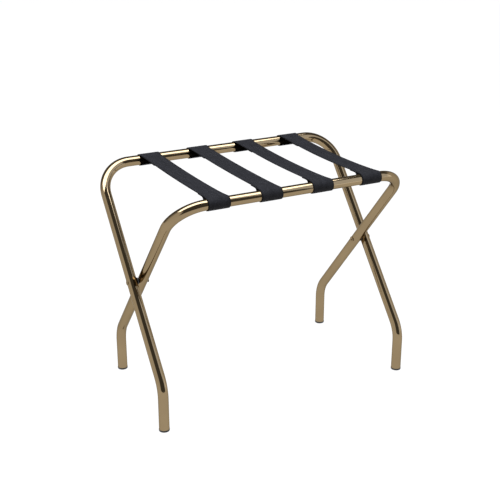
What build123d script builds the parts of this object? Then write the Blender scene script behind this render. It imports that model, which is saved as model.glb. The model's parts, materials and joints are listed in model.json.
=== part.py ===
from build123d import *
from math import acos, asin, atan2, cos, degrees, hypot, radians, sin
import os

# Folding luggage rack: two bent-tube U frames cross in an X and turn on one rivet per side.
# Four webbing straps are looped round the two top rails and hold the rack open.
# Millimetres, +Z up. The origin is on the floor, midway between the four feet.
# +X runs along the rails. The outer (wider) frame has its rail at +Y and its feet at -Y;
# the inner frame is the other way round.

# ---- driving dimensions ----
tube_diameter = 22.2
tube_wall = 1.2
rail_height = 486.0          # rail centre line above the floor, rack open
rail_half_depth = 174.7      # rail centre line to the middle of the rack
foot_half_depth = 150.0      # foot centre line to the middle of the rack
knee_height = 98.5           # sharp corner between leg and foot stub
corner_radius = 69.0         # bend between leg and rail, at the tube's centre line
knee_radius = 70.5           # bend between leg and foot stub
outer_leg_x = 292.3          # leg centre line of the outer frame
leg_gap = 1.8                # clear space between the crossing legs, filled by a spacer

rivet_diameter = 6.0
rivet_clearance = 0.05       # radial, so that the inner frame turns freely
rivet_head_diameter = 10.0
rivet_head_height = 1.6
rivet_head_edge = 0.5        # straight rim under the dome
rivet_bore_diameter = 3.8    # hollow end that is rolled over
rivet_bore_depth = 7.0
rivet_roll_diameter = 8.4
rivet_roll_height = 1.2
spacer_diameter = 15.0
washer_diameter = 13.0
washer_thickness = 0.8
turning_clearance = 0.1      # between the inner frame and the washers it turns against

glide_rim_diameter = 22.8
glide_rim_height = 4.0
glide_rim_round = 0.9
glide_stem_diameter = 18.6
glide_stem_bore = 14.5
glide_stem_length = 20.0
glide_rib_diameter = 19.7
glide_rib_height = 1.4
glide_rib_pitch = 5.5
glide_rib_count = 3

strap_width = 48.0
strap_thickness = 1.6
strap_pitch = 118.0
strap_count = 4
strap_sag = 5.0              # middle of the strap below its level on the rails
loop_clearance = 0.3         # webbing to tube, so that the loop turns on the rail
outer_loop_length = 62.0     # outer rail's centre to where the turned-under end meets the strap
inner_loop_length = 20.0     # the same at the inner rail, where the loop is sewn up tight
outer_seam_length = 20.0     # sewn overlap of the turned-under end
inner_seam_length = 24.0
loop_bend_radius = 9.0       # where the turned-under end flattens against the strap
seam_overlap = 0.05          # how far the two sewn layers are pressed together
segment_gap = 0.2            # between the strap's segments, which turn on each other
folded_loop_gap = 1.0        # between the loops of the two rails, rack folded

# ---- derived dimensions ----
tube_radius = tube_diameter / 2
tube_bore = tube_diameter - 2 * tube_wall
inner_leg_x = outer_leg_x - tube_diameter - leg_gap
leg_rise = rail_height - knee_height
leg_run = rail_half_depth + foot_half_depth
pivot_z = rail_height - leg_rise * rail_half_depth / leg_run
pivot_to_rail = hypot(rail_half_depth, rail_height - pivot_z)
pivot_axis = Axis((0, 0, pivot_z), (1, 0, 0))

wrap_radius = tube_radius + loop_clearance + strap_thickness / 2
middle_rise = wrap_radius - strap_sag
sag_radius = (rail_half_depth**2 + middle_rise**2 - wrap_radius**2) / (2 * strap_sag)
sag_centre_z = rail_height + middle_rise + sag_radius
run_angle = degrees(asin(rail_half_depth / (sag_radius + wrap_radius)))

folded_rail_offset = wrap_radius + strap_thickness / 2 + folded_loop_gap / 2
turn_length = folded_rail_offset - middle_rise
open_angle = 2 * degrees(atan2(rail_half_depth, rail_height - pivot_z))
fold_angle = open_angle - 2 * degrees(asin(folded_rail_offset / pivot_to_rail))
strap_drop_angle = 90 - fold_angle / 2


def save(block, name):
    """Label the finished piece and write it as one STEP file."""
    block.part.label = name
    export_step(block.part, f"parts/{name}.step")


def side_plane(x, toward_rail):
    """Upright plane across the rack at x. Its own x runs toward the rail, its own y up."""
    return Plane(origin=(x, 0, 0), x_dir=(0, toward_rail, 0), z_dir=(toward_rail, 0, 0))


def frame_tube(leg_x, rail_side):
    """One U frame: foot stub, leg, rail, leg and foot stub, bent from one tube."""
    rail_y = rail_side * rail_half_depth
    foot_y = -rail_side * foot_half_depth
    route = [
        (-leg_x, foot_y, glide_rim_height),
        (-leg_x, foot_y, knee_height),
        (-leg_x, rail_y, rail_height),
        (leg_x, rail_y, rail_height),
        (leg_x, foot_y, knee_height),
        (leg_x, foot_y, glide_rim_height),
    ]
    bends = [knee_radius, corner_radius, corner_radius, knee_radius]
    with BuildPart() as tube:
        with BuildLine():
            FilletPolyline(*route, radius=bends)
        with BuildSketch(Plane.XY.offset(glide_rim_height)):
            with Locations((-leg_x, foot_y)):
                Circle(tube_radius)
                Circle(tube_bore / 2, mode=Mode.SUBTRACT)
        sweep()
        with BuildSketch(Plane.YZ):
            with Locations((0, pivot_z)):
                Circle(rivet_diameter / 2 + rivet_clearance)
        extrude(amount=leg_x + tube_diameter, both=True, mode=Mode.SUBTRACT)
    return tube


def foot_glide(x, y):
    """Moulded foot: a rim under the tube's end and a ribbed hollow stem pushed into it."""
    with BuildPart() as glide:
        with BuildSketch():
            with Locations((x, y)):
                Circle(glide_rim_diameter / 2)
        extrude(amount=glide_rim_height)
        fillet(glide.edges().group_by(Axis.Z)[0], glide_rim_round)
        with BuildSketch(Plane.XY.offset(glide_rim_height)):
            with Locations((x, y)):
                Circle(glide_stem_diameter / 2)
        extrude(amount=glide_stem_length)
        for rib in range(glide_rib_count):
            rib_z = glide_rim_height + glide_rib_pitch * (rib + 0.5)
            with BuildSketch(Plane.XY.offset(rib_z)):
                with Locations((x, y)):
                    Circle(glide_rib_diameter / 2)
            extrude(amount=glide_rib_height)
        with BuildSketch(Plane.XY.offset(glide_rim_height + glide_stem_length)):
            with Locations((x, y)):
                Circle(glide_stem_bore / 2)
        extrude(amount=-glide_stem_length, mode=Mode.SUBTRACT)
    return glide


def pivot_rivet(side):
    """Tubular rivet: domed head outside, hollow shank, end rolled over inside."""
    head_x = outer_leg_x + tube_radius
    roll_x = inner_leg_x - tube_radius - washer_thickness - turning_clearance
    end_x = roll_x - rivet_roll_height
    shank = rivet_diameter / 2
    bore = rivet_bore_diameter / 2
    roll = rivet_roll_diameter / 2
    head = rivet_head_diameter / 2
    plane = Plane(origin=(0, 0, pivot_z), x_dir=(side, 0, 0), z_dir=(0, -side, 0))
    with BuildPart() as rivet:
        with BuildSketch(plane):
            with BuildLine():
                Polyline((end_x + rivet_bore_depth, 0), (head_x + rivet_head_height, 0))
                dome_rim = (head_x + rivet_head_edge, head)
                dome_mid = (head_x + rivet_head_edge + (rivet_head_height - rivet_head_edge) * 0.75, head / 2)
                ThreePointArc((head_x + rivet_head_height, 0), dome_mid, dome_rim)
                Polyline(dome_rim, (head_x, head), (head_x, shank), (roll_x, shank), (roll_x, roll))
                ThreePointArc((roll_x, roll), (end_x, (roll + bore) / 2), (roll_x + 0.4, bore))
                Polyline((roll_x + 0.4, bore), (end_x + rivet_bore_depth, bore), (end_x + rivet_bore_depth, 0))
            make_face()
        revolve(axis=pivot_axis)
    return rivet


def pivot_ring(side, inner_x, outer_x, diameter):
    """Flat washer on the rivet, between two distances from the middle of the rack."""
    with BuildPart() as ring:
        with BuildSketch(Plane.YZ.offset(side * inner_x)):
            with Locations((0, pivot_z)):
                Circle(diameter / 2)
                Circle(rivet_diameter / 2 + rivet_clearance, mode=Mode.SUBTRACT)
        extrude(amount=side * (outer_x - inner_x))
    return ring


def on_run(distance, depth=0.0):
    """Point of the strap's sagging run at a distance from its middle, and depth below it."""
    radius = sag_radius + depth
    turn = asin(distance / radius)
    return (distance, sag_centre_z - radius * cos(turn))


def on_wrap(angle):
    """Point of the webbing's middle layer round the rail, angle from straight outwards."""
    turn = radians(angle)
    return (rail_half_depth + wrap_radius * cos(turn), rail_height + wrap_radius * sin(turn))


def strap_half(x, toward_rail, loop_length, seam_length):
    """Half a strap in side view: run, loop round the rail and turned-under sewn end."""
    plane = side_plane(x, toward_rail)
    run_start = on_run(turn_length + segment_gap / 2)
    run_end = on_wrap(90 + run_angle)
    seam_depth = strap_thickness - seam_overlap
    seam_start = on_run(rail_half_depth - loop_length, seam_depth)
    seam_end = on_run(rail_half_depth - loop_length - seam_length, seam_depth)
    reach = hypot(rail_half_depth - seam_start[0], seam_start[1] - rail_height)
    climb = degrees(atan2(seam_start[1] - rail_height, rail_half_depth - seam_start[0]))
    wrap_leave = on_wrap(180 - climb + degrees(acos(wrap_radius / reach)))
    with BuildPart() as strap:
        with BuildSketch(plane):
            with BuildLine():
                ThreePointArc(run_start, on_run(rail_half_depth / 2), run_end)
                ThreePointArc(run_end, on_wrap(0), wrap_leave)
            trace(line_width=strap_thickness)
        extrude(amount=strap_width / 2, both=True)
        with BuildSketch(plane):
            with BuildLine():
                FilletPolyline(wrap_leave, seam_start, seam_end, radius=loop_bend_radius)
            trace(line_width=strap_thickness)
        extrude(amount=strap_width / 2, both=True)
    return strap


def strap_turn(x, toward_rail):
    """The last few millimetres before the strap's middle, which turn up when it folds."""
    start = on_run(segment_gap / 2)
    end = on_run(turn_length - segment_gap / 2)
    with BuildPart() as turn:
        with BuildSketch(side_plane(x, toward_rail)):
            with BuildLine():
                Line(start, end)
            trace(line_width=strap_thickness)
        extrude(amount=strap_width / 2, both=True)
    return turn


os.makedirs("parts", exist_ok=True)

# ---- frames and feet ----
for frame_name, leg_x, rail_side in (("outer", outer_leg_x, 1), ("inner", inner_leg_x, -1)):
    save(frame_tube(leg_x, rail_side), f"{frame_name}_frame_tube")
    for side_name, side in (("left", -1), ("right", 1)):
        glide = foot_glide(side * leg_x, -rail_side * foot_half_depth)
        save(glide, f"{frame_name}_foot_{side_name}")

# ---- pivots ----
for side_name, side in (("left", -1), ("right", 1)):
    save(pivot_rivet(side), f"pivot_rivet_{side_name}")
    spacer_from = inner_leg_x + tube_radius + turning_clearance
    spacer_to = outer_leg_x - tube_radius
    spacer = pivot_ring(side, spacer_from, spacer_to, spacer_diameter)
    save(spacer, f"pivot_spacer_{side_name}")
    washer_to = inner_leg_x - tube_radius - turning_clearance
    washer = pivot_ring(side, washer_to - washer_thickness, washer_to, washer_diameter)
    save(washer, f"rivet_washer_{side_name}")

# ---- straps, each in four segments that fold as one ----
for number in range(strap_count):
    strap_x = (number - (strap_count - 1) / 2) * strap_pitch
    for rail_name, toward_rail, loop_length, seam_length in (
        ("outer", 1, outer_loop_length, outer_seam_length),
        ("inner", -1, inner_loop_length, inner_seam_length),
    ):
        half = strap_half(strap_x, toward_rail, loop_length, seam_length)
        save(half, f"strap_{number + 1}_{rail_name}_half")
        save(strap_turn(strap_x, toward_rail), f"strap_{number + 1}_{rail_name}_turn")

print(f"pivot height {pivot_z:.3f}, pivot to rail {pivot_to_rail:.3f}")
print(f"open angle {open_angle:.3f}, folds by {fold_angle:.3f}, strap drops by {strap_drop_angle:.3f}")
print(f"strap turn at {turn_length:.3f} from the middle, height {on_run(turn_length)[1]:.3f}")
print(f"sag radius {sag_radius:.1f}, run angle {run_angle:.3f}")
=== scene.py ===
"""Folding luggage rack: the looks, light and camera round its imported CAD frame."""

import json
import math

import bpy
from mathutils import Matrix, Vector


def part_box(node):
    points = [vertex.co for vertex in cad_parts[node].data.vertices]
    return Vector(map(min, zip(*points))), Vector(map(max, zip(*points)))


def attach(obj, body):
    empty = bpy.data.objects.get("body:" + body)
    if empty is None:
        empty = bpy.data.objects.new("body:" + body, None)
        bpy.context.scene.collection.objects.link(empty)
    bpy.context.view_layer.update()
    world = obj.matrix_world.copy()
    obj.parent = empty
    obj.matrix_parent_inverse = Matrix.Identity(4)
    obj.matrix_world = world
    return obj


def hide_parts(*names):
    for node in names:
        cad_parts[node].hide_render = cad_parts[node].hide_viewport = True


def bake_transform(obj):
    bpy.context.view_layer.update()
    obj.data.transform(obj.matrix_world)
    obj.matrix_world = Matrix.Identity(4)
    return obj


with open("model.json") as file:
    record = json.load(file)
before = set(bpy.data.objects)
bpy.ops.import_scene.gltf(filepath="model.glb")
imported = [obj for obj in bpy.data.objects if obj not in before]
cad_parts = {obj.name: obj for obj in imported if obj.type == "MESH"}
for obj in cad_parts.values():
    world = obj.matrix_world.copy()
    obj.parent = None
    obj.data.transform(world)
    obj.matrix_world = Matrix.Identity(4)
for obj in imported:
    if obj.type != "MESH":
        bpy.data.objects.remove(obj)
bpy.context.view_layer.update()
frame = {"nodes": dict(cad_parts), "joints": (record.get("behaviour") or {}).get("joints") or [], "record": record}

# ---- places, from the frame (metres) ----
joint_at = {joint["name"]: Vector(joint["pos_m"]) for joint in frame["joints"]}
mount_at = {mount["name"]: Vector(mount["pos_m"]) for mount in frame["record"]["mounts"]}
pivot_z = joint_at["fold"].z
rail_y = joint_at["strap_drop_outer"].y
rail_z = joint_at["strap_drop_outer"].z
middle_z = joint_at["strap_turn_outer"].z
glide_top = 0.004            # where a tube ends, on its foot glide
strap_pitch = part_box("strap_2_outer_half")[0].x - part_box("strap_1_outer_half")[0].x
leg_x = {name: mount_at[f"{name}_foot_right_base"].x for name in ("outer", "inner")}
foot_y = mount_at["inner_foot_right_base"].y
knee_z = pivot_z - (rail_z - pivot_z) * foot_y / rail_y

# ---- sizes that the frame doesn't name (metres) ----
tube_radius = 0.0111
tube_wall = 0.0012
corner_radius = 0.069
knee_radius = 0.0705
strap_width = 0.048
strap_thickness = 0.0016
strap_count = 4
loop_clearance = 0.0003
loop_bend_radius = 0.009
loop_length = {"outer": 0.062, "inner": 0.020}
seam_length = {"outer": 0.020, "inner": 0.024}

# Each strap as it lies: shift at the inner rail, shift at the outer rail, how much narrower the
# webbing is drawn between the rails, and how much higher its middle hangs than the even sag.
strap_lie = (
    (0.0011, 0.0034, 0.0054, 0.0015),
    (0.0010, 0.0042, 0.0042, 0.0020),
    (0.0010, 0.0020, 0.0070, 0.0),
    (0.0008, 0.0027, 0.0062, -0.0012),
)
neck_power = 11              # how sharply the webbing widens again beside a rail
inner_loop_shift = (0.0, -0.0012, -0.0012, -0.0012)    # the loops' own shift along the inner rail

rib_count = 16               # lengthwise ribs on each face of the webbing
rib_depth = 0.00016
selvedge = 0.0022            # plain woven edge beside the ribs
pick_pitch = 0.0013          # from one crosswise thread of the weave to the next

stitch_length = 0.0030
stitch_pitch = 0.0038
stitch_radius = 0.00026
stitch_inset = 0.0042        # from the webbing's edge to a lengthwise row
stitch_sides = 8
stitch_cap_steps = 3

tube_sides = 96
crease_degrees = 40          # sharper edges than this keep a crease in smooth shading

# a strap's middle layer: an arc round each rail, and between them a shallow arc that sags
wrap_radius = tube_radius + loop_clearance + strap_thickness / 2
middle_rise = middle_z - rail_z       # of the straps' middle over the rails' centres
sag_radius = (rail_y**2 + middle_rise**2 - wrap_radius**2) / (2 * (wrap_radius - middle_rise))
run_angle = math.asin(rail_y / (sag_radius + wrap_radius))
sag_centre_z = middle_z + sag_radius


# ---- mesh tools ----
def rounded_route(corners, bends, run_step, arc_step):
    """(point, tangent) pairs along straight runs joined by tangent arcs."""
    route = []

    def add_run(start, end, tangent):
        steps = max(1, math.ceil((end - start).length / run_step))
        for step in range(steps + 1):
            route.append((start.lerp(end, step / steps), tangent))

    run_start = corners[0]
    for before, corner, after, bend in zip(corners, corners[1:], corners[2:], bends):
        into = (corner - before).normalized()
        out = (after - corner).normalized()
        turn = into.angle(out)
        setback = bend * math.tan(turn / 2)
        arc_start = corner - into * setback
        add_run(run_start, arc_start, into)
        axis = into.cross(out).normalized()
        centre = arc_start + axis.cross(into) * bend
        steps = math.ceil(turn / arc_step)
        for step in range(1, steps):
            spin = Matrix.Rotation(turn * step / steps, 3, axis)
            route.append((centre + spin @ (arc_start - centre), spin @ into))
        run_start = corner + out * setback
    add_run(run_start, corners[-1], (corners[-1] - corners[-2]).normalized())
    return route


def distances(route):
    """Length along the route at each of its points."""
    along = [0.0]
    for (a, _), (b, _) in zip(route, route[1:]):
        along.append(along[-1] + (b - a).length)
    return along


def new_piece(name, vertices, faces, corner_uvs, material):
    """A smooth-shaded mesh object with one UV pair per face corner, or with no UVs."""
    mesh = bpy.data.meshes.new(name)
    mesh.from_pydata(vertices, [], faces)
    if corner_uvs:
        layer = mesh.uv_layers.new(name="UVMap")
        for loop, uv in zip(layer.data, corner_uvs):
            loop.uv = uv
    mesh.materials.append(material)
    mesh.shade_smooth()
    mesh.set_sharp_from_angle(angle=math.radians(crease_degrees))
    mesh.validate()
    piece = bpy.data.objects.new(name, mesh)
    bpy.context.scene.collection.objects.link(piece)
    return piece


def skin_rings(rings, around, along, close_ends):
    """Quads between successive rings, with UVs in metres, and one face over each end if asked."""
    count = len(rings[0])
    vertices = [point for ring in rings for point in ring]
    faces = []
    uvs = []
    for row in range(len(rings) - 1):
        this = row * count
        following = this + count
        for column in range(count):
            beside = (column + 1) % count
            faces.append((this + column, this + beside, following + beside, following + column))
            u = around[column]
            u_next = around[column + 1]
            uvs += [(u, along[row]), (u_next, along[row]), (u_next, along[row + 1]), (u, along[row + 1])]
    if close_ends:
        for row, order in ((0, -1), (len(rings) - 1, 1)):
            face = [row * count + column for column in range(count)][::order]
            faces.append(tuple(face))
            uvs += [(around[index % count], along[row]) for index in face]
    return vertices, faces, uvs


# ---- materials ----
def new_material(name):
    """A node material: itself, its nodes, its links and its shader."""
    material = bpy.data.materials.new(name)
    material.use_nodes = True
    nodes = material.node_tree.nodes
    return material, nodes, material.node_tree.links, nodes["Principled BSDF"]


def noise(nodes, links, vector, scale, detail):
    """A noise texture of a vector."""
    node = nodes.new("ShaderNodeTexNoise")
    node.inputs["Scale"].default_value = scale
    node.inputs["Detail"].default_value = detail
    links.new(vector, node.inputs["Vector"])
    return node.outputs["Fac"]


def ramp(nodes, links, value, low, high, low_colour, high_colour):
    """Two colours, the first up to low and the second from high."""
    node = nodes.new("ShaderNodeValToRGB")
    node.color_ramp.elements[0].position = low
    node.color_ramp.elements[0].color = (*low_colour, 1)
    node.color_ramp.elements[1].position = high
    node.color_ramp.elements[1].color = (*high_colour, 1)
    links.new(value, node.inputs["Fac"])
    return node.outputs["Color"]


def to_range(nodes, links, value, low, high):
    """A value from 0 to 1, spread between low and high."""
    node = nodes.new("ShaderNodeMapRange")
    node.inputs["To Min"].default_value = low
    node.inputs["To Max"].default_value = high
    links.new(value, node.inputs["Value"])
    return node.outputs["Result"]


def maths(nodes, links, operation, *values):
    """A maths node. Numbers are set on it and sockets are linked to it."""
    node = nodes.new("ShaderNodeMath")
    node.operation = operation
    for socket, value in zip(node.inputs, values):
        if isinstance(value, (int, float)):
            socket.default_value = value
        else:
            links.new(value, socket)
    return node.outputs["Value"]


def scaled(nodes, links, vector, scale):
    """A vector stretched along its axes."""
    node = nodes.new("ShaderNodeMapping")
    node.inputs["Scale"].default_value = scale
    links.new(vector, node.inputs["Vector"])
    return node.outputs["Vector"]


def bump(nodes, links, shader, height, strength, distance):
    """Relief on a shader from a height."""
    node = nodes.new("ShaderNodeBump")
    node.inputs["Strength"].default_value = strength
    node.inputs["Distance"].default_value = distance
    links.new(height, node.inputs["Height"])
    links.new(node.outputs["Normal"], shader.inputs["Normal"])


def coordinates(nodes, output):
    """A texture coordinate output."""
    return nodes.new("ShaderNodeTexCoord").outputs[output]


def polished_brass(name, drawn):
    """Bright plated brass: faint wipe marks and tone drift, and fine lines along a drawn tube."""
    dark_brass = (0.275, 0.202, 0.115)
    light_brass = (0.303, 0.224, 0.127)
    grazing_tint = (0.50, 0.49, 0.47, 1)
    lines_per_metre = (900, 6, 1)
    material, nodes, links, shader = new_material(name)
    place = coordinates(nodes, "Object")
    drift = noise(nodes, links, place, scale=14, detail=2)
    links.new(ramp(nodes, links, drift, 0.3, 0.7, dark_brass, light_brass), shader.inputs["Base Color"])
    shader.inputs["Metallic"].default_value = 1.0
    shader.inputs["Specular Tint"].default_value = grazing_tint
    marks = noise(nodes, links, place, scale=55, detail=5)
    links.new(to_range(nodes, links, marks, low=0.05, high=0.09), shader.inputs["Roughness"])
    if drawn:
        stretched = scaled(nodes, links, coordinates(nodes, "UV"), lines_per_metre)
        lines = noise(nodes, links, stretched, scale=1, detail=2)
        bump(nodes, links, shader, lines, strength=0.05, distance=0.0002)
    return material


def wave(nodes, links, value):
    """Rounded crowns from 0 to 1, one for each whole step of a value."""
    turn = maths(nodes, links, "MULTIPLY", value, math.pi)
    return maths(nodes, links, "ABSOLUTE", maths(nodes, links, "SINE", turn))


def black_webbing():
    """Charcoal webbing: weft picks across lengthwise ribs, plain darker edges, worn tone patches."""
    dark_cloth = (0.0080, 0.0078, 0.0088)
    light_cloth = (0.0215, 0.0210, 0.0232)
    edge_colour = (0.0055, 0.0054, 0.0062, 1)
    fibres_per_metre = (9000, 1400, 1)
    patches_per_metre = (150, 35, 60)
    edge_fade = 1.6 * selvedge
    material, nodes, links, shader = new_material("black_webbing")
    uv = nodes.new("ShaderNodeSeparateXYZ")
    links.new(coordinates(nodes, "UV"), uv.inputs["Vector"])
    rib = maths(nodes, links, "DIVIDE", uv.outputs["X"], (strap_width - 2 * selvedge) / rib_count)
    half_step = maths(nodes, links, "MULTIPLY", maths(nodes, links, "FLOOR", rib), 0.5)
    pick = maths(nodes, links, "DIVIDE", uv.outputs["Y"], pick_pitch)
    picks = wave(nodes, links, maths(nodes, links, "ADD", pick, half_step))
    crowns = wave(nodes, links, rib)
    weave = maths(nodes, links, "MULTIPLY", crowns, maths(nodes, links, "MULTIPLY_ADD", picks, 0.6, 0.4))
    fine = scaled(nodes, links, coordinates(nodes, "UV"), fibres_per_metre)
    fibre = noise(nodes, links, fine, scale=1, detail=2)
    height = maths(nodes, links, "MULTIPLY_ADD", fibre, 0.3, weave)
    coarse = scaled(nodes, links, coordinates(nodes, "Object"), patches_per_metre)
    patch = noise(nodes, links, coarse, scale=1, detail=4)
    tone = maths(nodes, links, "MULTIPLY_ADD", patch, 0.8, maths(nodes, links, "MULTIPLY", height, 0.35))
    cloth = ramp(nodes, links, tone, 0.25, 0.95, dark_cloth, light_cloth)
    from_middle = maths(nodes, links, "ABSOLUTE", uv.outputs["X"])
    past_edge = maths(nodes, links, "SUBTRACT", from_middle, strap_width / 2)
    edge = maths(nodes, links, "MULTIPLY_ADD", past_edge, 1 / edge_fade, 1.0)
    darker = nodes.new("ShaderNodeMix")
    darker.data_type = "RGBA"
    darker.inputs["B"].default_value = edge_colour
    darker.clamp_factor = True
    links.new(edge, darker.inputs["Factor"])
    links.new(cloth, darker.inputs["A"])
    links.new(darker.outputs["Result"], shader.inputs["Base Color"])
    links.new(to_range(nodes, links, height, low=0.9, high=0.68), shader.inputs["Roughness"])
    shader.inputs["Specular IOR Level"].default_value = 0.08
    bump(nodes, links, shader, height, strength=0.5, distance=0.00025)
    return material


def black_thread():
    """Twisted polyester sewing thread, a little shinier than the webbing."""
    dark_thread = (0.010, 0.010, 0.012)
    light_thread = (0.030, 0.029, 0.034)
    strands_per_metre = (3000, 3000, 3000)
    material, nodes, links, shader = new_material("black_thread")
    twisted = scaled(nodes, links, coordinates(nodes, "Object"), strands_per_metre)
    strands = noise(nodes, links, twisted, scale=1, detail=1)
    links.new(ramp(nodes, links, strands, 0.3, 0.7, dark_thread, light_thread), shader.inputs["Base Color"])
    shader.inputs["Roughness"].default_value = 0.45
    bump(nodes, links, shader, strands, strength=0.3, distance=0.0001)
    return material


def moulded_plastic(name, dark, light):
    """Moulded plastic with a fine satin grain."""
    material, nodes, links, shader = new_material(name)
    place = coordinates(nodes, "Object")
    grain = noise(nodes, links, place, scale=1600, detail=2)
    drift = noise(nodes, links, place, scale=90, detail=3)
    links.new(ramp(nodes, links, drift, 0.35, 0.7, dark, light), shader.inputs["Base Color"])
    links.new(to_range(nodes, links, grain, low=0.38, high=0.55), shader.inputs["Roughness"])
    bump(nodes, links, shader, grain, strength=0.15, distance=0.0001)
    return material


brass_tube = polished_brass("brass_tube", drawn=True)
brass_rivet = polished_brass("brass_rivet", drawn=False)
webbing = black_webbing()
thread = black_thread()
glide_plastic = moulded_plastic("glide_plastic", dark=(0.008, 0.008, 0.009), light=(0.016, 0.016, 0.018))
nylon = moulded_plastic("nylon", dark=(0.02, 0.02, 0.021), light=(0.04, 0.04, 0.042))


# ---- frames ----
def frame_tube(name, rail_side):
    """One U frame's tube, hollow, with the same bends as its CAD node."""
    x = leg_x[name]
    rail = rail_side * rail_y
    foot = -rail_side * foot_y
    corners = [
        Vector((-x, foot, glide_top)),
        Vector((-x, foot, knee_z)),
        Vector((-x, rail, rail_z)),
        Vector((x, rail, rail_z)),
        Vector((x, foot, knee_z)),
        Vector((x, foot, glide_top)),
    ]
    bends = [knee_radius, corner_radius, corner_radius, knee_radius]
    route = rounded_route(corners, bends, run_step=0.02, arc_step=math.radians(2))
    outward = Vector((1, 0, 0))
    outer_rings = []
    inner_rings = []
    tangent_before = route[0][1]
    for point, tangent in route:
        outward = tangent_before.rotation_difference(tangent) @ outward
        tangent_before = tangent
        across = tangent.cross(outward)
        spins = [math.tau * side / tube_sides for side in range(tube_sides)]
        spokes = [outward * math.cos(spin) + across * math.sin(spin) for spin in spins]
        outer_rings.append([point + spoke * tube_radius for spoke in spokes])
        inner_rings.append([point + spoke * (tube_radius - tube_wall) for spoke in spokes])
    along = distances(route)
    rings = outer_rings + inner_rings[::-1] + [outer_rings[0]]
    back_from = 2 * along[-1] + tube_wall
    lengths = along + [back_from - length for length in reversed(along)]
    lengths.append(lengths[-1] + tube_wall)
    around = [math.tau * tube_radius * side / tube_sides for side in range(tube_sides + 1)]
    vertices, faces, uvs = skin_rings(rings, around, lengths, close_ends=False)
    # the last ring is the first one again, so its faces use the first ring's vertices
    last = len(vertices) - tube_sides
    faces = [tuple(index - last if index >= last else index for index in face) for face in faces]
    piece = new_piece(f"{name}_frame_bent_tube", vertices[:last], faces, uvs, brass_tube)
    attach(piece, f"{name}_frame")
    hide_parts(f"{name}_frame_tube")


frame_tube("outer", rail_side=1)
frame_tube("inner", rail_side=-1)


# ---- CAD nodes that keep their shape ----
def repaint(node, material):
    """Puts a material on a CAD node."""
    part = frame["nodes"][node]
    for slot in part.material_slots:
        slot.material = material
    part.data.shade_smooth()


for side_name in ("left", "right"):
    for frame_name in ("outer", "inner"):
        repaint(f"{frame_name}_foot_{side_name}", glide_plastic)
    repaint(f"pivot_rivet_{side_name}", brass_rivet)
    repaint(f"rivet_washer_{side_name}", brass_rivet)
    repaint(f"pivot_spacer_{side_name}", nylon)


# ---- straps ----
def webbing_section():
    """The webbing's cross-section: (across, proud of its middle layer), ribbed on both faces."""
    rib_steps = 4
    side_steps = 6
    half = strap_thickness / 2
    side = half - rib_depth
    edge = strap_width / 2 - half
    ribbed = strap_width / 2 - selvedge
    face = [(-edge, side)]
    for sample in range(rib_count * rib_steps + 1):
        across = -ribbed + 2 * ribbed * sample / (rib_count * rib_steps)
        crown = 0.5 - 0.5 * math.cos(math.tau * sample / rib_steps)
        face.append((across, side + rib_depth * crown))
    face.append((edge, side))
    round_side = [math.pi / 2 - math.pi * step / side_steps for step in range(1, side_steps)]
    section = list(face)
    section += [(edge + half * math.cos(angle), side * math.sin(angle)) for angle in round_side]
    section += [(across, -height) for across, height in reversed(face)]
    section += [(-edge - half * math.cos(angle), -side * math.sin(angle)) for angle in round_side]
    return section


def on_run(distance, depth=0.0):
    """A point of the sagging run, or depth below it, at a distance from the middle, and its tangent."""
    radius = sag_radius + depth
    turn = math.asin(distance / radius)
    point = Vector((0, distance, sag_centre_z - radius * math.cos(turn)))
    return point, Vector((0, math.cos(turn), math.sin(turn)))


def on_wrap(angle):
    """A point of the loop round the rail, angle from straight outwards, and its tangent."""
    reach = wrap_radius * math.cos(angle)
    height = wrap_radius * math.sin(angle)
    return Vector((0, rail_y + reach, rail_z + height)), Vector((0, math.sin(angle), -math.cos(angle)))


def strap_route(loop, seam):
    """Half a strap from its middle: the run, the loop and the sewn end, as (point, tangent)."""
    fine_end = 0.014         # where the folding strap bends, so its rings are close together there
    fine_step = 0.0005
    run_step = 0.004
    wrap_steps = 40
    wrap_from = math.pi / 2 + run_angle
    run_end = on_wrap(wrap_from)[0].y
    places = [fine_step * step for step in range(round(fine_end / fine_step))]
    steps = math.ceil((run_end - fine_end) / run_step)
    places += [fine_end + (run_end - fine_end) * step / steps for step in range(steps)]
    route = [on_run(place) for place in places]
    seam_start = on_run(rail_y - loop, strap_thickness)[0]
    seam_end = on_run(rail_y - loop - seam, strap_thickness)[0]
    reach = Vector((rail_y - seam_start.y, seam_start.z - rail_z))
    climb = math.atan2(reach.y, reach.x)
    wrap_to = math.pi - climb + math.acos(wrap_radius / reach.length) - math.tau
    route += [on_wrap(wrap_from + (wrap_to - wrap_from) * step / wrap_steps) for step in range(wrap_steps)]
    tail = [on_wrap(wrap_to)[0], seam_start, seam_end]
    route += rounded_route(tail, [loop_bend_radius], run_step=0.003, arc_step=math.radians(4))
    return route


def on_rack(strap, toward_rail, place, across):
    """A point of the half strap in its place on the rack, drawn in between the rails."""
    y = place.y * toward_rail
    share = min(1.0, abs(place.y) / rail_y)
    at_inner, at_outer, neck, rise = strap_lie[strap]
    narrow = 1 - neck / strap_width * (1 - share**neck_power)
    shift = at_inner + (at_outer - at_inner) * (0.5 + 0.5 * y / rail_y)
    if toward_rail < 0:
        shift += inner_loop_shift[strap] * share**neck_power
    centre = (strap - (strap_count - 1) / 2) * strap_pitch
    x = centre + shift + across * toward_rail * narrow
    return Vector((x, y, place.z + rise * (1 - share**2)))


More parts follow.
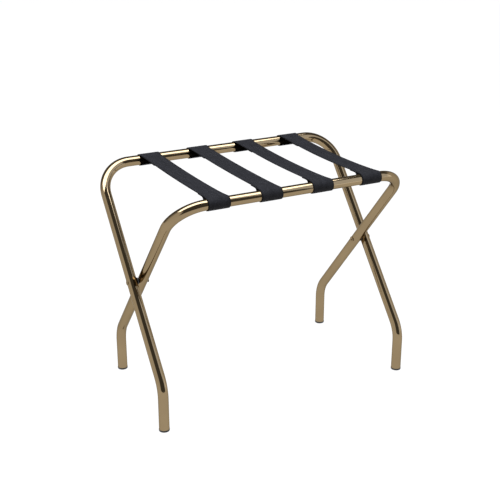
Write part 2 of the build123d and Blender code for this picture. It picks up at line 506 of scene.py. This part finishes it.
def strap_half(strap, side_name, toward_rail):
    """The webbing from the strap's middle round one rail and back under itself."""
    route = strap_route(loop_length[side_name], seam_length[side_name])
    section = webbing_section()
    rings = []
    for point, tangent in route:
        up = Vector((0, -tangent.z, tangent.y))
        ring = [on_rack(strap, toward_rail, point + up * height, across) for across, height in section]
        rings.append(ring)
    around = [across for across, _ in section] + [section[0][0]]
    along = distances(route)
    vertices, faces, uvs = skin_rings(rings, around, along, close_ends=True)
    name = f"strap_{strap + 1}_{side_name}"
    piece = new_piece(f"{name}_webbing", vertices, faces, uvs, webbing)
    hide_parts(f"{name}_half", f"{name}_turn")
    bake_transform(piece)


def stitch_rows(side_name):
    """The box of stitches through the sewn overlap: (across, from the middle, runs across) each."""
    near_rail = rail_y - loop_length[side_name] - stitch_pitch / 2
    far_end = near_rail - seam_length[side_name] + stitch_pitch
    reach = strap_width / 2 - stitch_inset
    rows = []
    columns = math.floor(2 * reach / stitch_pitch)
    for column in range(columns):
        across = (column - (columns - 1) / 2) * stitch_pitch
        rows += [(across, near_rail, True), (across, far_end, True)]
    lines = math.floor((near_rail - far_end) / stitch_pitch)
    for line in range(lines):
        place = far_end + (line + 0.5) * (near_rail - far_end) / lines
        rows += [(-reach, place, False), (reach, place, False)]
    return rows


def stitch_profile():
    """A stitch's rings from end to end: (from its middle, radius)."""
    tip = 0.15               # how far the first ring is from closing, in steps
    straight = stitch_length / 2 - stitch_radius
    rings = []
    for step in range(stitch_cap_steps):
        turn = math.pi / 2 * (step + tip) / stitch_cap_steps
        rings.append((-straight - stitch_radius * math.cos(turn), stitch_radius * math.sin(turn)))
    for step in range(stitch_cap_steps):
        turn = math.pi / 2 * step / stitch_cap_steps
        rings.append((straight + stitch_radius * math.sin(turn), stitch_radius * math.cos(turn)))
    return rings


def stitch_faces(first):
    """The faces of one stitch whose first vertex has this number."""
    rings = 2 * stitch_cap_steps
    faces = []
    for ring in range(rings - 1):
        for side in range(stitch_sides):
            here = first + ring * stitch_sides + side
            beside = first + ring * stitch_sides + (side + 1) % stitch_sides
            faces.append((here, beside, beside + stitch_sides, here + stitch_sides))
    last = first + (rings - 1) * stitch_sides
    faces.append(tuple(first + side for side in reversed(range(stitch_sides))))
    faces.append(tuple(last + side for side in range(stitch_sides)))
    return faces


def sewn_box(strap, side_name, toward_rail):
    """Thread lying proud on both faces of the sewn overlap, one short capsule per stitch."""
    vertices = []
    faces = []
    for across, place, runs_across in stitch_rows(side_name):
        for height in (strap_thickness / 2, -strap_thickness * 1.5):
            centre, tangent = on_run(place, -height)
            up = Vector((0, -tangent.z, tangent.y))
            lengthwise = Vector((1, 0, 0)) if runs_across else tangent
            sidewise = tangent if runs_across else Vector((1, 0, 0))
            faces += stitch_faces(len(vertices))
            for reach, radius in stitch_profile():
                for side in range(stitch_sides):
                    spin = math.tau * side / stitch_sides
                    offset = sidewise * math.cos(spin) + up * math.sin(spin)
                    point = centre + lengthwise * reach + offset * radius
                    vertices.append(on_rack(strap, toward_rail, point, across + point.x))
    piece = new_piece(f"strap_{strap + 1}_{side_name}_stitches", vertices, faces, None, thread)
    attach(piece, f"straps_{side_name}")


for strap in range(strap_count):
    for side_name, toward_rail in (("outer", 1), ("inner", -1)):
        strap_half(strap, side_name, toward_rail)
        sewn_box(strap, side_name, toward_rail)


# ---- floor, light and camera ----
def pale_floor():
    """A large pale floor that shines evenly white. It ends a little way in front of the rack."""
    reach = 40.0
    front = -2.9
    pale = (0.06, 0.06, 0.06, 1)
    mesh = bpy.data.meshes.new("floor")
    corners = [(-reach, front, 0), (reach, front, 0), (reach, reach, 0), (-reach, reach, 0)]
    mesh.from_pydata(corners, [], [(0, 1, 2, 3)])
    floor = bpy.data.objects.new("floor", mesh)
    bpy.context.scene.collection.objects.link(floor)
    material, _, _, shader = new_material("pale_floor")
    shader.inputs["Base Color"].default_value = pale
    shader.inputs["Roughness"].default_value = 1.0
    shader.inputs["Specular IOR Level"].default_value = 0.0
    shader.inputs["Emission Color"].default_value = (1, 1, 1, 1)
    shader.inputs["Emission Strength"].default_value = 0.99
    mesh.materials.append(material)


def soft_box(name, place, turned, width, height, radiance):
    """A rectangular light with an even colour, turned from facing down by degrees about X, Y, Z."""
    light = bpy.data.lights.new(name, "AREA")
    light.shape = "RECTANGLE"
    light.size = width
    light.size_y = height
    brightest = max(radiance)
    light.energy = brightest * math.pi * width * height
    light.color = [channel / brightest for channel in radiance]
    lamp = bpy.data.objects.new(name, light)
    lamp.location = place
    lamp.rotation_euler = [math.radians(angle) for angle in turned]
    bpy.context.scene.collection.objects.link(lamp)


def grey_steps(nodes, links, value, steps):
    """A grey that changes along a value from -1 to 1, through (value, grey) steps."""
    node = nodes.new("ShaderNodeValToRGB")
    elements = node.color_ramp.elements
    while len(elements) < len(steps):
        elements.new(0.5)
    for element, (at, grey) in zip(elements, steps):
        element.position = 0.5 + 0.5 * at
        element.color = (grey, grey, grey, 1)
    links.new(maths(nodes, links, "MULTIPLY_ADD", value, 0.5, 0.5), node.inputs["Fac"])
    return node.outputs["Color"]


def studio_world():
    """A dark room, paler far out at the left and at the right, that the camera sees as white."""
    front_greys = ((-1, 0.80), (-0.82, 0.80), (-0.72, 0.09), (0.80, 0.09), (0.90, 0.75))
    back_greys = ((-1, 0.80), (-0.8, 0.5), (-0.6, 0.16), (0.7, 0.16), (0.9, 0.75))
    brightness = 1.25
    white = (1, 1, 1, 1)
    world = bpy.data.worlds.new("studio")
    world.use_nodes = True
    bpy.context.scene.world = world
    nodes = world.node_tree.nodes
    links = world.node_tree.links
    nodes.clear()
    direction = nodes.new("ShaderNodeSeparateXYZ")
    links.new(coordinates(nodes, "Generated"), direction.inputs["Vector"])
    front = grey_steps(nodes, links, direction.outputs["X"], front_greys)
    back = grey_steps(nodes, links, direction.outputs["X"], back_greys)
    behind = nodes.new("ShaderNodeMix")
    behind.data_type = "RGBA"
    behind.clamp_factor = True
    # front up to y = 0.1, back from y = 0.3
    backward = maths(nodes, links, "MULTIPLY_ADD", direction.outputs["Y"], 5.0, -0.5)
    links.new(backward, behind.inputs["Factor"])
    links.new(front, behind.inputs["A"])
    links.new(back, behind.inputs["B"])
    studio = nodes.new("ShaderNodeBackground")
    studio.inputs["Strength"].default_value = brightness
    links.new(behind.outputs["Result"], studio.inputs["Color"])
    backdrop = nodes.new("ShaderNodeBackground")
    backdrop.inputs["Color"].default_value = white
    mix = nodes.new("ShaderNodeMixShader")
    links.new(nodes.new("ShaderNodeLightPath").outputs["Is Camera Ray"], mix.inputs["Fac"])
    links.new(studio.outputs["Background"], mix.inputs[1])
    links.new(backdrop.outputs["Background"], mix.inputs[2])
    links.new(mix.outputs["Shader"], nodes.new("ShaderNodeOutputWorld").inputs["Surface"])


def photo_camera():
    """The camera, at the viewing angle and distance of a product picture."""
    looks_down = 21.2
    looks_right = 27.82
    camera = bpy.data.objects.new("camera", bpy.data.cameras.new("camera"))
    camera.location = (-0.9868, -1.8473, 1.1092)
    camera.rotation_euler = (math.radians(90 - looks_down), 0, math.radians(-looks_right))
    camera.data.sensor_width = 36.0
    camera.data.lens = 72.86
    camera.data.clip_end = 200
    bpy.context.scene.collection.objects.link(camera)
    bpy.context.scene.camera = camera


pale_floor()
studio_world()
soft_box(
    "overhead", place=(-0.714, -0.039, 2.65), turned=(0, 0, -8.75),
    width=4.2, height=1.5, radiance=(6.2, 6.6, 7.4),
)
soft_box(
    "side_panel", place=(2.75, -1.83, 2.32), turned=(90, 0, 0),
    width=3.5, height=4.6, radiance=(1.02, 1.10, 1.28),
)
photo_camera()
bpy.context.scene.view_settings.view_transform = "Standard"
